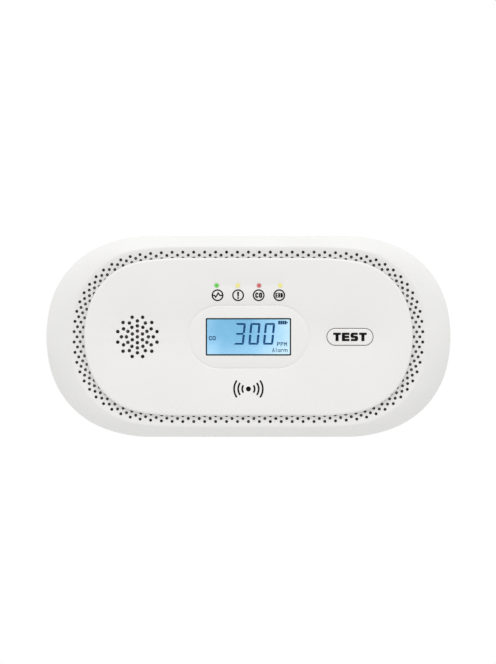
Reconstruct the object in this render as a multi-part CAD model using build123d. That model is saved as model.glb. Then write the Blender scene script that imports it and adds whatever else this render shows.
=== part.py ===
from build123d import *
import os
from math import cos, pi, radians, sin

# Wall-mounted carbon monoxide alarm with a display, four lights, a TEST button and a perforated front.
# Each piece is modelled lying on its back: x to the right, y up, z out of the wall towards the room.
# save() then turns it upright: x stays, up becomes +Z and the front faces -Y.
# The origin is the centre of the flat back face, where it meets the wall.

# ---------------------------------------------------------------- driving dimensions, millimetres
WIDTH = 130.0
HEIGHT = 64.5
DEPTH = 34.0

WALL = 2.0
BACK_EDGE_RADIUS = 3.0
PARTING = 15.0
BORDER_START = 26.0
CREST = 33.3
FLOOR_TOP = 32.0
FLOOR_THICKNESS = 1.3
FLOOR_BACK = FLOOR_TOP - FLOOR_THICKNESS
UPPER_WALL = 3.2
LIP_HEIGHT = 2.5
LIP_THICKNESS = 1.2
RUNNING_GAP = 0.1

# An oval is (half width, half height, two shoulder bends), a bend being (radius, angle it turns to).
CASE_OVAL = (WIDTH / 2, HEIGHT / 2, ((40.9, radians(22.2)), (27.9, radians(74.9))))
VENT_OVAL = (56.0, 27.2, ((126.0, radians(6.1)), (24.25, radians(81.0))))
PANEL_OVAL = (52.8, 25.35, ((81.0, radians(8.9)), (21.1, radians(70.7))))
CREST_OFFSET = 1.8

VENT_ROWS = 4
VENTS_PER_ROW = 86
VENT_RADIUS = 0.5
VENT_ROW_PITCH = 0.96
VENT_GUIDE = 2.2

PANEL_LEDGE = 4.0
SKIRT_GAP = 0.2
SKIRT_THICKNESS = 1.2
SKIRT_DEPTH = 1.8

DISH_OUTER = (40.4, 20.8)
DISH_INNER = (36.9, 19.4)
DISH_DEPTH = 0.3
DISH_FLOOR = 1.9
DISH_BACK = DEPTH - DISH_DEPTH - DISH_FLOOR
WINDOW = (27.4, 12.05)
WINDOW_CORNER = 0.35

BUTTON_X = 32.6
BUTTON = (14.66, 5.27)
BUTTON_GAP = 0.2
BUTTON_PROUD = 0.2
BUTTON_TRAVEL = 0.5
BUTTON_FLANGE = (18.2, 8.8)
FLANGE_THICKNESS = 1.2
COLLAR_WALL = 1.2
COLLAR_DEPTH = 2.6

SOUNDER_X = -35.65
GRILLE_HOLE_RADIUS = 0.585
GRILLE_RINGS = ((1.88, 6, 30.0), (3.52, 12, 0.0), (5.12, 12, 0.0), (6.52, 12, 15.0))

LED_COLOURS = ("green", "amber_left", "red", "amber_right")
LED_PITCH = 6.8
LED_Y = 16.5
LED_RADIUS = 1.5
LIGHT_TIP_RADIUS = 0.7

BOARD_BACK = 18.6
BOARD_THICKNESS = 1.6
BOARD_FRONT = BOARD_BACK + BOARD_THICKNESS
BOARD_INSET = 4.2

SCREW_X = 33.0
SCREW_Y = 19.0
SHANK_RADIUS = 1.25
HEAD_RADIUS = 2.4
COUNTERBORE_DEPTH = 3.0

CELL_RADIUS = 7.1
CELL_CAN = 49.2
CELL_NUB = (2.65, 1.1)
CELL_PITCH = 14.6
BAY = (55.0, 44.2)
BAY_WALL = 1.2
BAY_FLOOR = 17.0
CONTACT_THICKNESS = 0.4
SPRING_LENGTH = 3.3

BAY_CHAMFER = 0.4
DOOR_GAP = 0.2
DOOR_CHAMFER = 0.3
DOOR_SUNK = 0.3
DOOR_BACK = WALL
HINGE_RADIUS = (DOOR_BACK - DOOR_SUNK) / 2
TAB_X = 15.0
TAB_WIDTH = 8.0
TAB_REACH = 2.0
TAB_CLEAR = 2.2
TAB_TOP = 3.4
TAB_ROOM = 5.0
LATCH_WIDTH = 12.0
LATCH_REACH = 3.7
LATCH_HOOK = 1.3

KEYHOLE_X = 48.0
KEYHOLE_Y = 11.0
KEYHOLE_HEAD = 4.0
KEYHOLE_SLOT = 2.1
KEYHOLE_RISE = 6.0

SENSOR_X = 44.0
SENSOR_Y = -6.0
SENSOR_RADIUS = 9.75

UPRIGHT = Plane(origin=(0, 0, 0), x_dir=(1, 0, 0), z_dir=(0, -1, 0)).location


# ---------------------------------------------------------------- helpers
def save(name, *solids):
    """Turn the piece upright and write its node."""
    turned = [UPRIGHT * solid for solid in solids]
    export_step(turned[0] if len(turned) == 1 else Compound(children=turned), f"parts/{name}.step")


def quarter(oval):
    """The straight half length and the three tangent arcs (radius, from, to) of a quarter oval."""
    half_width, half_height, ((radius_1, turn_1), (radius_2, turn_2)) = oval
    drop = radius_1 * (1 - cos(turn_1)) + radius_2 * (cos(turn_1) - cos(turn_2))
    radius_3 = (half_height - drop) / cos(turn_2)
    run = radius_1 * sin(turn_1) + radius_2 * (sin(turn_2) - sin(turn_1)) + radius_3 * (1 - sin(turn_2))
    arcs = ((radius_1, 0.0, turn_1), (radius_2, turn_1, turn_2), (radius_3, turn_2, pi / 2))
    return half_width - run, arcs


def oval_face(oval, inset=0.0):
    """The face inside an oval whose edge is moved inward by inset."""
    straight, arcs = quarter(oval)
    top = oval[1] - inset
    corner = (straight, top)
    pieces = []
    for radius, start, end in arcs:
        bend = radius - inset
        centre = (corner[0] - bend * sin(start), corner[1] - bend * cos(start))
        turns = (start, (start + end) / 2, end)
        pieces.append([(centre[0] + bend * sin(turn), centre[1] + bend * cos(turn)) for turn in turns])
        corner = pieces[-1][-1]
    edges = [Edge.make_line((-straight, top), (straight, top))]
    for side_x, side_y, order in ((1, 1, 1), (1, -1, -1), (-1, -1, 1), (-1, 1, -1)):
        for points in pieces[::order]:
            mirrored = [(side_x * x, side_y * y) for x, y in points[::order]]
            edges.append(Edge.make_three_point_arc(*mirrored))
        if (side_x, side_y) == (1, -1):
            edges.append(Edge.make_line((straight, -top), (-straight, -top)))
    return Face(Wire(edges))


def between(first, second, share):
    """An oval part of the way from one oval to another."""
    mixed = [a + (b - a) * share for a, b in zip(first[:2], second[:2])]
    bends = [
        tuple(a + (b - a) * share for a, b in zip(bend_1, bend_2))
        for bend_1, bend_2 in zip(first[2], second[2])
    ]
    return (mixed[0], mixed[1], tuple(bends))


def grown(oval, offset):
    """The oval parallel to this one, moved outward by offset."""
    bends = tuple((radius + offset, turn) for radius, turn in oval[2])
    return (oval[0] + offset, oval[1] + offset, bends)


def slab(face, low, high):
    """The face extruded from one distance off the wall to another."""
    return Pos(0, 0, low) * extrude(face, high - low, dir=(0, 0, 1))


def pill(size):
    """A stadium of this overall width and height."""
    return SlotOverall(size[0], size[1])


def block(x_low, x_high, y_low, y_high, low, high):
    """A box from its limits."""
    centre = ((x_low + x_high) / 2, (y_low + y_high) / 2, (low + high) / 2)
    return Pos(*centre) * Box(x_high - x_low, y_high - y_low, high - low)


def rod(x, y, radius, low, high):
    """A cylinder that stands off the wall."""
    return Pos(x, y, low) * Cylinder(radius, high - low, align=(Align.CENTER, Align.CENTER, Align.MIN))


def stations(oval, guide, count, shift):
    """Points on an oval with their outward normals, spaced evenly along a parallel guide oval."""
    straight, arcs = quarter(oval)
    length = straight + sum((radius + guide) * (end - start) for radius, start, end in arcs)
    found = []
    for index in range(count):
        side, along = divmod((index + shift) / count * 4 * length, length)
        if int(side) % 2:
            along = length - along
        x, y, turn = min(along, straight), oval[1], 0.0
        along -= straight
        for radius, start, end in arcs:
            if along <= 0:
                break
            turn = start + min(along / (radius + guide), end - start)
            x += radius * (sin(turn) - sin(start))
            y += radius * (cos(turn) - cos(start))
            along -= (radius + guide) * (end - start)
        sign_x = 1 if int(side) in (0, 1) else -1
        sign_y = 1 if int(side) in (0, 3) else -1
        found.append((sign_x * x, sign_y * y, sign_x * sin(turn), sign_y * cos(turn)))
    return found


def four_corners(x, y):
    """The same point in all four quarters."""
    return [(side_x * x, side_y * y) for side_x in (-1, 1) for side_y in (-1, 1)]


def outward(y, reach):
    """The stretch, lower end first, from a height y to reach further from the middle."""
    return sorted((y, y + reach if y > 0 else y - reach))


SCREW_PLACES = four_corners(SCREW_X, SCREW_Y)
LED_PLACES = [(LED_PITCH * (index - 1.5), LED_Y) for index in range(len(LED_COLOURS))]


# ---------------------------------------------------------------- case
def vent_wires():
    """The round vents: rows one and three share stations, rows two and four sit between them."""
    wires = []
    for row in range(VENT_ROWS):
        offset = -row * VENT_ROW_PITCH
        for x, y, normal_x, normal_y in stations(VENT_OVAL, VENT_GUIDE, VENTS_PER_ROW, 0.5 * (row % 2)):
            centre = (x + offset * normal_x, y + offset * normal_y)
            wires.append(Wire.make_circle(VENT_RADIUS, Plane(origin=(centre[0], centre[1], 0))))
    return wires


def front_shell():
    """Side wall, rounded border and the perforated floor of the groove round the front panel."""
    crest_oval = grown(VENT_OVAL, CREST_OFFSET)
    sections = []
    steps = 4
    for step in range(steps + 1):
        turn = pi / 2 * step / steps
        height = BORDER_START + (CREST - BORDER_START) * sin(turn)
        sections.append(Pos(0, 0, height) * oval_face(between(CASE_OVAL, crest_oval, 1 - cos(turn))))
    shell = slab(oval_face(CASE_OVAL), PARTING, BORDER_START) + loft(sections)
    shell -= slab(oval_face(CASE_OVAL, WALL), PARTING, BORDER_START)
    shell -= slab(oval_face(CASE_OVAL, UPPER_WALL), BORDER_START, FLOOR_BACK)
    groove = grown(VENT_OVAL, CREST_OFFSET / 2)
    shell -= slab(oval_face(groove), FLOOR_BACK, CREST)
    ledge = oval_face(PANEL_OVAL, PANEL_LEDGE).outer_wire()
    floor = Face(oval_face(groove).outer_wire(), [ledge, *vent_wires()])
    shell += slab(floor, FLOOR_BACK, FLOOR_TOP)
    lobe_radius = 3.8
    bridge_half = 2.5
    bridge_reach = 4.2
    boss_radius = 2.8
    pilot_radius = SHANK_RADIUS + 0.05
    pilot_depth = 6.8
    root_overlap = 0.6
    inner = oval_face(PANEL_OVAL, PANEL_LEDGE - root_overlap)
    for x, y in SCREW_PLACES:
        lobe = slab(Pos(x, y) * Circle(lobe_radius), FLOOR_BACK, FLOOR_TOP)
        bridge = block(x - bridge_half, x + bridge_half, *outward(y, bridge_reach), FLOOR_BACK, FLOOR_TOP)
        shell += (lobe + bridge) & slab(inner, FLOOR_BACK, FLOOR_TOP)
        shell += rod(x, y, boss_radius, BOARD_FRONT, FLOOR_BACK)
        shell -= rod(x, y, pilot_radius, BOARD_FRONT, BOARD_FRONT + pilot_depth)
    return shell


def front_panel():
    """Raised fascia with the display dish, the button opening, the light holes and the sounder grille."""
    panel = slab(oval_face(PANEL_OVAL), FLOOR_TOP, DEPTH)
    rim_radius = 0.5
    panel = fillet(panel.edges().group_by(Axis.Z)[-1], rim_radius)
    panel += slab(pill(DISH_OUTER), DISH_BACK, FLOOR_TOP)
    skirt_inset = PANEL_LEDGE + SKIRT_GAP
    skirt = oval_face(PANEL_OVAL, skirt_inset) - oval_face(PANEL_OVAL, skirt_inset + SKIRT_THICKNESS)
    skirt = slab(skirt, FLOOR_TOP - SKIRT_DEPTH, FLOOR_TOP)
    clear_of_boss = 4.1
    clear_of_bridge = 2.8
    clear_reach = 6.0
    clear_of_chamber = 13.0
    for x, y in SCREW_PLACES:
        skirt -= rod(x, y, clear_of_boss, 0, DEPTH)
        skirt -= block(x - clear_of_bridge, x + clear_of_bridge, *outward(y, clear_reach), 0, DEPTH)
    skirt -= rod(SOUNDER_X, 0, clear_of_chamber, 0, DEPTH)
    panel += skirt
    collar_room = 0.4
    collar_inner = (BUTTON_FLANGE[0] + collar_room, BUTTON_FLANGE[1] + collar_room)
    collar_outer = (collar_inner[0] + 2 * COLLAR_WALL, collar_inner[1] + 2 * COLLAR_WALL)
    collar = pill(collar_outer) - pill(collar_inner)
    panel += Pos(BUTTON_X, 0, 0) * slab(collar, FLOOR_TOP - COLLAR_DEPTH, FLOOR_TOP)
    dish_low = Pos(0, 0, DEPTH - DISH_DEPTH) * pill(DISH_INNER).face()
    panel -= loft([dish_low, Pos(0, 0, DEPTH) * pill(DISH_OUTER).face()])
    panel -= slab(RectangleRounded(*WINDOW, WINDOW_CORNER), DISH_BACK, DEPTH)
    opening = pill((BUTTON[0] + 2 * BUTTON_GAP, BUTTON[1] + 2 * BUTTON_GAP))
    panel -= Pos(BUTTON_X, 0, 0) * slab(opening, FLOOR_TOP, DEPTH)
    tip_hole = LIGHT_TIP_RADIUS + 0.08
    for x, y in LED_PLACES:
        panel -= rod(x, y, tip_hole, FLOOR_TOP, DEPTH)
    grille = [Pos(SOUNDER_X, 0) * Circle(GRILLE_HOLE_RADIUS)]
    for radius, count, start in GRILLE_RINGS:
        grille += [
            Pos(SOUNDER_X, 0) * hole
            for hole in PolarLocations(radius, count, start_angle=start) * Circle(GRILLE_HOLE_RADIUS)
        ]
    panel -= [slab(hole, FLOOR_TOP, DEPTH) for hole in grille]
    return panel


def keyhole(margin, low, high, head=KEYHOLE_HEAD, slot=KEYHOLE_SLOT):
    """A keyhole prism: a round entry with a narrower slot above it, all grown by margin."""
    outline = Circle(head + margin) + Pos(0, KEYHOLE_RISE) * Circle(slot + margin)
    outline += Pos(0, KEYHOLE_RISE / 2) * Rectangle(2 * (slot + margin), KEYHOLE_RISE)
    return slab(outline, low, high)


def rear_cover():
    """Tray that meets the wall, with the battery bay, the screw bosses and two keyholes."""
    cover = slab(oval_face(CASE_OVAL), 0, PARTING)
    cover = fillet(cover.edges().group_by(Axis.Z)[0], BACK_EDGE_RADIUS)
    cover -= slab(oval_face(CASE_OVAL, WALL), WALL, PARTING)
    lip_inset = WALL + RUNNING_GAP
    lip_root_height = 2.0
    root_overlap = 0.3
    lip = oval_face(CASE_OVAL, lip_inset) - oval_face(CASE_OVAL, lip_inset + LIP_THICKNESS)
    lip_root = oval_face(CASE_OVAL, WALL - root_overlap) - oval_face(CASE_OVAL, lip_inset + LIP_THICKNESS)
    cover += slab(lip, PARTING - lip_root_height, PARTING + LIP_HEIGHT)
    cover += slab(lip_root, PARTING - lip_root_height, PARTING)
    bay_outer = Rectangle(BAY[0] + 2 * BAY_WALL, BAY[1] + 2 * BAY_WALL)
    cover += slab(bay_outer, WALL / 2, BAY_FLOOR + BAY_WALL)
    cover -= slab(Rectangle(*BAY), 0, BAY_FLOOR)
    wide_mouth = Rectangle(BAY[0] + 2 * BAY_CHAMFER, BAY[1] + 2 * BAY_CHAMFER).face()
    cover -= loft([wide_mouth, Pos(0, 0, BAY_CHAMFER) * Rectangle(*BAY).face()])
    boss_radius = 3.4
    shank_hole = 1.45
    head_hole = 2.6
    for x, y in SCREW_PLACES:
        cover += rod(x, y, boss_radius, WALL / 2, BOARD_BACK)
        cover -= rod(x, y, shank_hole, 0, BOARD_BACK)
        cover -= rod(x, y, head_hole, 0, COUNTERBORE_DEPTH)
    pocket_depth = 3.6
    pocket_wall = 1.2
    pocket_top = WALL + pocket_depth
    head_room = 0.5
    outer_room = head_room + pocket_wall
    for x in (-KEYHOLE_X, KEYHOLE_X):
        place = Pos(x, KEYHOLE_Y, 0)
        cover += place * keyhole(outer_room, WALL / 2, pocket_top + pocket_wall, slot=KEYHOLE_HEAD)
        cover -= place * keyhole(head_room, WALL, pocket_top, slot=KEYHOLE_HEAD)
        cover -= place * keyhole(0, 0, WALL)
    half_bay = BAY[1] / 2
    side_room = 0.3
    slot_half = TAB_WIDTH / 2 + side_room
    slot_reach = TAB_REACH + 1.4
    for x in (-TAB_X, TAB_X):
        cover -= block(x - slot_half, x + slot_half, -half_bay - slot_reach, -half_bay, WALL, TAB_ROOM)
    notch_half = LATCH_WIDTH / 2 + side_room
    notch_top = half_bay + LATCH_REACH
    catch_reach = LATCH_HOOK + side_room
    cover -= block(-notch_half, notch_half, half_bay, notch_top, 0, TAB_ROOM)
    cover -= block(-notch_half, notch_half, half_bay, notch_top + catch_reach, WALL, TAB_ROOM)
    return cover


def battery_door():
    """Hatch over the cells: a round edge to turn on, two hooks under the case and a springy latch."""
    half_width = BAY[0] / 2 - DOOR_GAP
    half_height = BAY[1] / 2 - DOOR_GAP
    wall_edge = BAY[1] / 2
    hinge_y = HINGE_RADIUS - half_height
    door = block(-half_width, half_width, hinge_y, half_height, DOOR_SUNK, DOOR_BACK)
    outer_edges = door.edges().group_by(Axis.Z)[0].sort_by(Axis.Y)[1:]
    door = chamfer(outer_edges, DOOR_CHAMFER)
    round_edge = Rot(0, 90, 0) * Cylinder(HINGE_RADIUS, 2 * half_width)
    door += Pos(0, hinge_y, DOOR_SUNK + HINGE_RADIUS) * round_edge
    hook_foot = 2.4
    hook_overlap = 0.5
    for x in (-TAB_X, TAB_X):
        left, right = x - TAB_WIDTH / 2, x + TAB_WIDTH / 2
        door += block(left, right, -half_height, hook_foot - half_height, DOOR_BACK, TAB_TOP)
        door += block(left, right, -wall_edge - TAB_REACH, hook_overlap - half_height, TAB_CLEAR, TAB_TOP)
    half_latch = LATCH_WIDTH / 2
    slit = 0.8
    slit_depth = 9.0
    for side in (-1, 1):
        slit_ends = sorted((side * half_latch, side * (half_latch + slit)))
        door -= block(*slit_ends, half_height - slit_depth, half_height, 0, DOOR_BACK)
    thumb_end = wall_edge + LATCH_REACH - 0.3
    latch_wall = 1.2
    door += block(-half_latch, half_latch, half_height - 0.5, thumb_end, DOOR_SUNK, DOOR_BACK)
    door += block(-half_latch, half_latch, thumb_end - latch_wall, thumb_end, DOOR_BACK, TAB_TOP)
    door += block(-half_latch, half_latch, thumb_end - latch_wall, thumb_end + LATCH_HOOK, TAB_CLEAR, TAB_TOP)
    grip_grooves = 3
    groove_pitch = 1.1
    groove_half = 0.25
    for groove in range(grip_grooves):
        y = thumb_end - 1.0 - groove * groove_pitch
        door -= block(1 - half_latch, half_latch - 1, y - groove_half, y + groove_half, 0, DOOR_SUNK + 0.3)
    return door


def rating_label():
    """Blank sheet stuck on the battery door, inside the door's sunk depth."""
    thickness = 0.12
    size = (40, 24)
    corner = 1.5
    below_middle = 3
    return Pos(0, -below_middle, 0) * slab(RectangleRounded(*size, corner), DOOR_SUNK - thickness, DOOR_SUNK)


def insect_mesh():
    """Ring of fine mesh behind the vents that keeps dust and insects out."""
    thickness = 0.4
    outside = 1.2
    inside = 3.7
    ring = oval_face(grown(VENT_OVAL, outside)) - oval_face(VENT_OVAL, inside)
    return slab(ring, FLOOR_BACK - thickness, FLOOR_BACK)


# ---------------------------------------------------------------- display
LENS_FLANGE = 1.0
LENS_BACK = DISH_BACK - LENS_FLANGE
LENS_SIZE = (31.0, 15.6)
LENS_CORNER = 1.0
GASKET_THICKNESS = 0.2
GASKET_OPENING = (26.6, 11.2)
GASKET_CORNER = 0.2
GLASS_FRONT = LENS_BACK - GASKET_THICKNESS
GLASS_SIZE = (32.0, 17.0)
GLASS_BACK = GLASS_FRONT - 2.2
LIGHT_SIZE = (30.0, 13.0)
LIGHT_BACK = GLASS_BACK - 2.6


def display_lens():
    """Clear window: a flange glued behind the dish floor and a step that fills the opening."""
    step_gap = 0.1
    step_height = 1.0
    flange = slab(RectangleRounded(*LENS_SIZE, LENS_CORNER), LENS_BACK, DISH_BACK)
    step = RectangleRounded(WINDOW[0] - 2 * step_gap, WINDOW[1] - 2 * step_gap, WINDOW_CORNER)
    return flange + slab(step, DISH_BACK, DISH_BACK + step_height)


def display_gasket():
    """Thin black mask between the glass and the lens."""
    ring = RectangleRounded(*LENS_SIZE, LENS_CORNER) - RectangleRounded(*GASKET_OPENING, GASKET_CORNER)
    return slab(ring, GLASS_FRONT, LENS_BACK)


def lcd_glass():
    """The display cell itself."""
    return slab(Rectangle(*GLASS_SIZE), GLASS_BACK, GLASS_FRONT)


def lcd_backlight():
    """Light panel behind the display cell."""
    return slab(RectangleRounded(*LIGHT_SIZE, 0.8), LIGHT_BACK, GLASS_BACK)


def lcd_frame():
    """Holder that stands on the board round the glass and carries the backlight on two shelves."""
    room = 0.2
    inner = (GLASS_SIZE[0] + room, GLASS_SIZE[1] + room)
    wall = 1.5
    ring = RectangleRounded(inner[0] + 2 * wall, inner[1] + 2 * wall, 1.2) - Rectangle(*inner)
    frame = slab(ring, BOARD_FRONT, GLASS_FRONT)
    shelf_reach = 2.0
    shelf_half = 6.3
    shelf_thickness = 1.2
    for side in (-1, 1):
        ends = sorted((side * (inner[0] / 2 + room), side * (inner[0] / 2 - shelf_reach)))
        frame += block(*ends, -shelf_half, shelf_half, LIGHT_BACK - shelf_thickness, LIGHT_BACK)
    return frame


def lcd_strips():
    """Two rubber connector strips pressed between the glass and the board."""
    half_length = 14.0
    half_thickness = 0.75
    strip_y = 7.6
    return [
        block(-half_length, half_length, y - half_thickness, y + half_thickness, BOARD_FRONT, GLASS_BACK)
        for y in (-strip_y, strip_y)
    ]


# ---------------------------------------------------------------- lights, button and switch
def status_led(place):
    """3 mm round LED with its flange on the board."""
    x, y = place
    flange_radius = 1.9
    flange_top = BOARD_FRONT + 1.0
    dome_centre = BOARD_FRONT + 3.6
    led = rod(x, y, flange_radius, BOARD_FRONT, flange_top)
    led += rod(x, y, LED_RADIUS, flange_top, dome_centre)
    return led + Pos(x, y, dome_centre) * Sphere(LED_RADIUS)


def light_pipe():
    """One clear moulding: a bar with four prongs that carry the light to the fascia."""
    bar_low = 30.4
    bar_high = 31.8
    bar_width = 4.4
    prong_low = BOARD_FRONT + 5.4
    tip_top = DEPTH - 0.1
    bar = pill((LED_PITCH * (len(LED_COLOURS) - 1) + bar_width, bar_width))
    pipe = Pos(0, LED_Y, 0) * slab(bar, bar_low, bar_high)
    for x, y in LED_PLACES:
        pipe += rod(x, y, LED_RADIUS, prong_low, bar_low)
        pipe += rod(x, y, LIGHT_TIP_RADIUS, bar_high, tip_top)
    return pipe


SWITCH_TOP = BOARD_FRONT + 3.4
PLUNGER_TOP = SWITCH_TOP + 0.9
PLUNGER_RADIUS = 1.72
PLUNGER_TRAVEL = BUTTON_TRAVEL / 2
STEM_END = PLUNGER_TOP + BUTTON_TRAVEL - PLUNGER_TRAVEL + 0.01


def test_button():
    """Pill-shaped cap with a flange that stops it under the fascia and a stem over the switch."""
    flange_top = FLOOR_TOP - RUNNING_GAP
    flange_low = flange_top - FLANGE_THICKNESS
    stem_radius = 2.0
    cap = slab(pill(BUTTON), flange_top, DEPTH + BUTTON_PROUD)
    cap_edge = 0.35
    cap = fillet(cap.edges().group_by(Axis.Z)[-1], cap_edge)
    button = cap + slab(pill(BUTTON_FLANGE), flange_low, flange_top)
    button += rod(0, 0, stem_radius, STEM_END, flange_low)
    return Pos(BUTTON_X, 0, 0) * button


def switch_body():
    """6 mm tactile switch with a well for its plunger."""
    side = 6.0
    well_depth = 1.6
    body = Pos(BUTTON_X, 0, 0) * slab(RectangleRounded(side, side, 0.4), BOARD_FRONT, SWITCH_TOP)
    return body - rod(BUTTON_X, 0, PLUNGER_RADIUS + 0.08, SWITCH_TOP - well_depth, SWITCH_TOP)


def switch_plunger():
    """Round plunger that the button's stem pushes into the switch."""
    sunk = 1.3
    return rod(BUTTON_X, 0, PLUNGER_RADIUS, SWITCH_TOP - sunk, PLUNGER_TOP)


# ---------------------------------------------------------------- sounder
CHAMBER_BACK = 26.0
DISC_BACK = 26.3
DISC_FRONT = 26.6
DISC_RADIUS = 11.6
CERAMIC_THICKNESS = 0.25


def sounder_chamber():
    """Resonator cup behind the grille with a seat for the sounder disc."""
    outer_radius = 12.6
    bore_radius = 11.0
    mouth_radius = 7.3
    roof = FLOOR_TOP - 1.2
    cup = rod(SOUNDER_X, 0, outer_radius, CHAMBER_BACK, FLOOR_TOP)
    cup -= rod(SOUNDER_X, 0, DISC_RADIUS + 0.1, CHAMBER_BACK, DISC_FRONT)
    cup -= rod(SOUNDER_X, 0, bore_radius, DISC_FRONT, roof)
    return cup - rod(SOUNDER_X, 0, mouth_radius, roof, FLOOR_TOP)


def piezo_disc():
    """Thin brass disc on the chamber's seat."""
    return rod(SOUNDER_X, 0, DISC_RADIUS, DISC_BACK, DISC_FRONT)


def piezo_ceramic():
    """Ceramic wafer bonded to the back of the brass disc."""
    wafer_radius = 8.0
    return rod(SOUNDER_X, 0, wafer_radius, DISC_BACK - CERAMIC_THICKNESS, DISC_BACK)


def sounder_wires():
    """Two short leads from the disc to the board."""
    wire_radius = 0.45
    bend = 1.6
    run_height = 23.2
    run_x, run_y = 5.0, 2.4
    leads = []
    for side in (-1, 1):
        x, y = SOUNDER_X - 2, side * 4.0
        end_x, end_y = x + run_x, y + side * run_y
        start = (x, y, DISC_BACK - CERAMIC_THICKNESS)
        route = (start, (x, y, run_height), (end_x, end_y, run_height), (end_x, end_y, BOARD_FRONT))
        path = FilletPolyline(*route, radius=bend)
        leads.append(sweep(Plane(origin=start, z_dir=path % 0) * Circle(wire_radius), path=path))
    return leads


# ---------------------------------------------------------------- sensor
SENSOR_BACK = 5.5
SENSOR_FRONT = 17.0
CAP_LOW = SENSOR_BACK - 2.1
PIN_CIRCLE = 5.0
PIN_TURNS = [radians(turn) for turn in (90, 210, 330)]
PIN_PLACES = [(SENSOR_X + PIN_CIRCLE * cos(turn), SENSOR_Y + PIN_CIRCLE * sin(turn)) for turn in PIN_TURNS]
PIN_RADIUS = 0.5
INLET_RADIUS = 1.2
FILTER_RADIUS = 3.0
FILTER_THICKNESS = 0.4


def sensor_can():
    """Metal can of the electrochemical cell."""
    can = rod(SENSOR_X, SENSOR_Y, SENSOR_RADIUS, SENSOR_BACK, SENSOR_FRONT)
    return fillet(can.edges().group_by(Axis.Z)[-1], 0.8)


def sensor_cap():
    """Plastic cap of the gas sensor with its inlet and a seat for the filter."""
    cap = rod(SENSOR_X, SENSOR_Y, SENSOR_RADIUS + 0.15, CAP_LOW, SENSOR_BACK)
    cap -= rod(SENSOR_X, SENSOR_Y, INLET_RADIUS, CAP_LOW, SENSOR_BACK)
    return cap - rod(SENSOR_X, SENSOR_Y, FILTER_RADIUS + 0.05, CAP_LOW, CAP_LOW + FILTER_THICKNESS)


def sensor_filter():
    """Disc of filter membrane over the inlet."""
    return rod(SENSOR_X, SENSOR_Y, FILTER_RADIUS, CAP_LOW, CAP_LOW + FILTER_THICKNESS)


def sensor_pins():
    """Three pins soldered through the board."""
    return [rod(x, y, PIN_RADIUS, SENSOR_FRONT, BOARD_FRONT + 0.8) for x, y in PIN_PLACES]


# ---------------------------------------------------------------- board
CHIP_SIZE = (2.0, 1.25, 0.6)
CHIP_PITCH = 5.0
CHIP_COUNT = 10
CHIP_ROW_Y = -25.3
PARTS_Y = -18.0


def circuit_board():
    """Board the shape of the case, held between the rear bosses and the front bosses."""
    board = slab(oval_face(CASE_OVAL, BOARD_INSET), BOARD_BACK, BOARD_FRONT)
    screw_hole = 1.6
    for x, y in SCREW_PLACES:
        board -= rod(x, y, screw_hole, BOARD_BACK, BOARD_FRONT)
    for x, y in PIN_PLACES:
        board -= rod(x, y, PIN_RADIUS + 0.1, BOARD_BACK, BOARD_FRONT)
    return board


def microcontroller():
    """Square flat-pack controller."""
    side = 10.0
    height = 1.6
    return Pos(0, PARTS_Y, 0) * slab(Rectangle(side, side), BOARD_FRONT, BOARD_FRONT + height)


def capacitor():
    """Upright electrolytic capacitor."""
    can = rod(-12, PARTS_Y, 3.15, BOARD_FRONT, BOARD_FRONT + 8.5)
    return fillet(can.edges().group_by(Axis.Z)[-1], 0.5)


def sounder_inductor():
    """Step-up coil for the sounder on its ferrite drum."""
    x = 13.0
    flange_radius = 4.0
    winding_radius = 3.2
    flange_thickness = 1.5
    top = BOARD_FRONT + 8.0
    coil = rod(x, PARTS_Y, winding_radius, BOARD_FRONT, top)
    coil += rod(x, PARTS_Y, flange_radius, BOARD_FRONT, BOARD_FRONT + flange_thickness)
    return coil + rod(x, PARTS_Y, flange_radius, top - flange_thickness, top)


def chip_parts():
    """Small resistors and capacitors soldered in a row under the display."""
    row_start = -CHIP_PITCH * (CHIP_COUNT - 1) / 2
    half_x, half_y = CHIP_SIZE[0] / 2, CHIP_SIZE[1] / 2
    low, high = CHIP_ROW_Y - half_y, CHIP_ROW_Y + half_y
    middles = [row_start + CHIP_PITCH * index for index in range(CHIP_COUNT)]
    top = BOARD_FRONT + CHIP_SIZE[2]
    return [block(x - half_x, x + half_x, low, high, BOARD_FRONT, top) for x in middles]


# ---------------------------------------------------------------- battery and fasteners
CELL_ROOM = 0.6
CELL_Z = DOOR_BACK + CELL_ROOM + CELL_RADIUS
CELL_ROWS = [CELL_PITCH * (index - 1) for index in range(3)]
BAY_END = BAY[0] / 2
DIMPLE = 0.6
DIMPLE_RADIUS = 2.2
PLATE_HALF = 4.5


def along_x(radius, x_low, x_high, y):
    """A cylinder that lies along the bay at one cell's row."""
    return Pos((x_low + x_high) / 2, y, CELL_Z) * Rot(0, 90, 0) * Cylinder(radius, x_high - x_low)


def facing(index):
    """The end where a row's positive contact sits: +1 right, -1 left, in turn."""
    return 1 if index % 2 == 0 else -1


def aa_cell(index):
    """One AA cell: steel can and the positive nub."""
    side, y = facing(index), CELL_ROWS[index]
    nub_radius, nub_length = CELL_NUB
    nub_tip = side * (BAY_END - CONTACT_THICKNESS - DIMPLE)
    shoulder = nub_tip - side * nub_length
    base = shoulder - side * CELL_CAN
    can = along_x(CELL_RADIUS, *sorted((shoulder, base)), y)
    can_edge = 0.6
    can = fillet(can.edges().filter_by(GeomType.CIRCLE), can_edge)
    return can + along_x(nub_radius, *sorted((nub_tip, shoulder)), y)


def contact_plate(side, y):
    """Square spring-steel plate on one end wall of the bay."""
    ends = sorted((side * BAY_END, side * (BAY_END - CONTACT_THICKNESS)))
    return block(*ends, y - PLATE_HALF, y + PLATE_HALF, CELL_Z - PLATE_HALF, CELL_Z + PLATE_HALF)


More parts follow.
